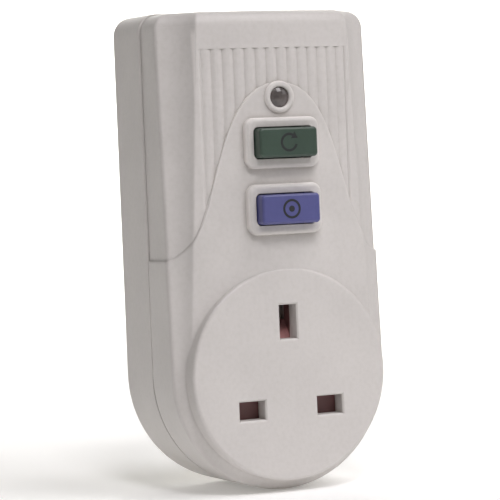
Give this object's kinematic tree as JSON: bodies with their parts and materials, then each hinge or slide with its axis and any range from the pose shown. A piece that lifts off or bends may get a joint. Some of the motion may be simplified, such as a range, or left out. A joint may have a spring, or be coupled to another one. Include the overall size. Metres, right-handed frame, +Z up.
{
  "type": "rcd adapter plug",
  "caption": "Plug-through residual current adapter: crowned white case with a ribbed top, reset and test buttons, an indicator lamp and a shuttered mains socket, with plug pins behind.",
  "frame": {"origin": "centre of the circle through the three plug pins, on the back face", "axes": "+Y out of the back along the plug pins, +Z up past the earth pin, socket face towards -Y"},
  "size_m": [0.0604, 0.0651, 0.1244],
  "materials": {
    "shell": "off-white moulded thermoset with a fine spark texture",
    "reset_cap": "dark green moulded plastic",
    "test_cap": "blue moulded plastic",
    "lens": "smoked clear plastic",
    "lamp": "red lamp body",
    "shutter": "reddish brown moulded plastic",
    "sleeve": "black moulded sleeve",
    "brass": "bright brass",
    "steel": "zinc plated steel",
    "inner_moulding": "natural moulded plastic",
    "board": "green lacquered laminate",
    "toroid": "potted core",
    "copper": "enamelled copper wire",
    "live_insulation": "brown insulation",
    "neutral_insulation": "blue insulation",
    "component": "black moulded component bodies",
    "resistor_body": "lacquered resistor",
    "varistor_body": "blue dipped coating"
  },
  "bodies": {
    "housing": {"front_cover": "shell", "rear_cover": "shell", "case_screws": "steel", "live_pin": "brass", "neutral_pin": "brass", "earth_pin": "brass", "live_pin_sleeve": "sleeve", "neutral_pin_sleeve": "sleeve", "pin_retainer": "inner_moulding", "retainer_screws": "steel", "shutter_spring": "steel", "contact_block": "inner_moulding", "block_screws": "steel", "live_socket_contact": "brass", "neutral_socket_contact": "brass", "earth_socket_contact": "brass", "indicator_lens": "lens", "indicator_led": "lamp", "circuit_board": "board", "board_screws": "steel", "sensing_toroid": "toroid", "live_conductor": "live_insulation", "neutral_conductor": "neutral_insulation", "solenoid_frame": "steel", "solenoid_bobbin": "inner_moulding", "solenoid_coil": "copper", "carriage_spring": "steel", "line_contacts": "brass", "load_contacts": "brass", "live_load_bar": "brass", "neutral_load_bar": "brass", "test_contact_leaf": "brass", "test_contact_post": "brass", "test_resistor": "resistor_body", "varistor": "varistor_body", "smoothing_capacitor": "component", "rectifier_diodes": "component", "thyristor": "component", "control_chip": "component", "board_resistors": "component"},
    "reset_press_body": {"reset_button": "reset_cap"},
    "carriage": {"contact_carriage": "inner_moulding", "moving_contacts": "brass", "solenoid_plunger": "steel"},
    "test_press_body": {"test_button": "test_cap"},
    "shutter": {"socket_shutter": "shutter"}
  },
  "joints": [
    {"name": "reset_press", "type": "slide", "parent": "housing", "child": "reset_press_body", "axis": [0, 1, 0], "range_m": [0, 0.003], "stiffness_N_per_m": 1200, "springref_m": -0.002},
    {"name": "carriage_close", "type": "slide", "parent": "housing", "child": "carriage", "axis": [0, 1, 0], "range_m": [0, 0.003], "deforming": ["carriage_spring"]},
    {"name": "test_press", "type": "slide", "parent": "housing", "child": "test_press_body", "axis": [0, 1, 0], "range_m": [0, 0.0022], "stiffness_N_per_m": 900, "springref_m": -0.002, "deforming": ["test_contact_leaf"]},
    {"name": "shutter_drop", "type": "slide", "parent": "housing", "child": "shutter", "axis": [0, 0, -1], "range_m": [0, 0.006], "stiffness_N_per_m": 150, "springref_m": -0.004, "deforming": ["shutter_spring"]}
  ],
  "couplings": [
    {"joint": "carriage_close", "follows": "reset_press", "ratio": 1}
  ]
}
